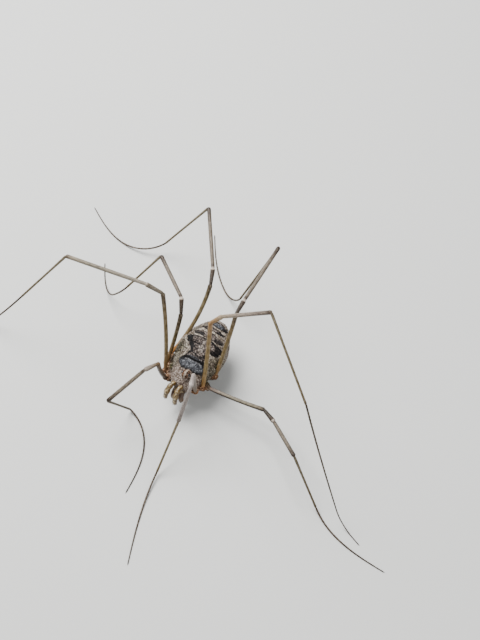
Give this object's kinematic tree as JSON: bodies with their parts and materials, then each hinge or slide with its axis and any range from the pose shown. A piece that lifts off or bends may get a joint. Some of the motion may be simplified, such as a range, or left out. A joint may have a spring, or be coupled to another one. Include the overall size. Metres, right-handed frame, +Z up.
{
  "type": "harvestman",
  "caption": "Life-size still model of a harvestman standing on its long thin legs, with one leg of the second pair arched high over the others.",
  "frame": {"origin": "middle of the whole animal's bounding box, at the floor that its feet rest on", "axes": "+Z up from the floor, the head points along -Y, and +X is towards the animal's left"},
  "size_m": [0.059, 0.0366, 0.0203],
  "materials": {
    "shield": "matt leathery skin, lilac-grey and brown with a dark saddle, cream edges and an orange-brown eye mound",
    "hind_body": "matt leathery skin, blue-grey and brown, mottled black and cream",
    "eye": "glossy black",
    "mouthparts": "satin golden tan with cream ridges and darker brown hollows",
    "femur": "satin ochre-tan, ridged, with rows of fine dark points",
    "patella": "satin dark brown, streaked black, with a pale ring at its far end",
    "tibia": "satin greyish pink-brown with pale ridges and a dark far end",
    "metatarsus": "satin tan-olive with faint darker rings",
    "tarsus": "satin dark brown, finely ringed"
  },
  "bodies": {
    "root": {"prosoma": "shield", "opisthosoma": "hind_body", "eye_left": "eye", "eye_right": "eye", "chelicera_left": "mouthparts", "chelicera_right": "mouthparts", "pedipalp_left": "mouthparts", "pedipalp_right": "mouthparts", "leg_left_1_femur": "femur", "leg_left_1_patella": "patella", "leg_left_1_tibia": "tibia", "leg_left_1_metatarsus": "metatarsus", "leg_left_1_tarsus": "tarsus", "leg_left_2_femur": "femur", "leg_left_2_patella": "patella", "leg_left_2_tibia": "tibia", "leg_left_2_metatarsus": "metatarsus", "leg_left_2_tarsus": "tarsus", "leg_left_3_femur": "femur", "leg_left_3_patella": "patella", "leg_left_3_tibia": "tibia", "leg_left_3_metatarsus": "metatarsus", "leg_left_3_tarsus": "tarsus", "leg_left_4_femur": "femur", "leg_left_4_patella": "patella", "leg_left_4_tibia": "tibia", "leg_left_4_metatarsus": "metatarsus", "leg_left_4_tarsus": "tarsus", "leg_right_1_femur": "femur", "leg_right_1_patella": "patella", "leg_right_1_tibia": "tibia", "leg_right_1_metatarsus": "metatarsus", "leg_right_1_tarsus": "tarsus", "leg_right_2_femur": "femur", "leg_right_2_patella": "patella", "leg_right_2_tibia": "tibia", "leg_right_2_metatarsus": "metatarsus", "leg_right_2_tarsus": "tarsus", "leg_right_3_femur": "femur", "leg_right_3_patella": "patella", "leg_right_3_tibia": "tibia", "leg_right_3_metatarsus": "metatarsus", "leg_right_3_tarsus": "tarsus", "leg_right_4_femur": "femur", "leg_right_4_patella": "patella", "leg_right_4_tibia": "tibia", "leg_right_4_metatarsus": "metatarsus", "leg_right_4_tarsus": "tarsus"}
  },
  "joints": []
}
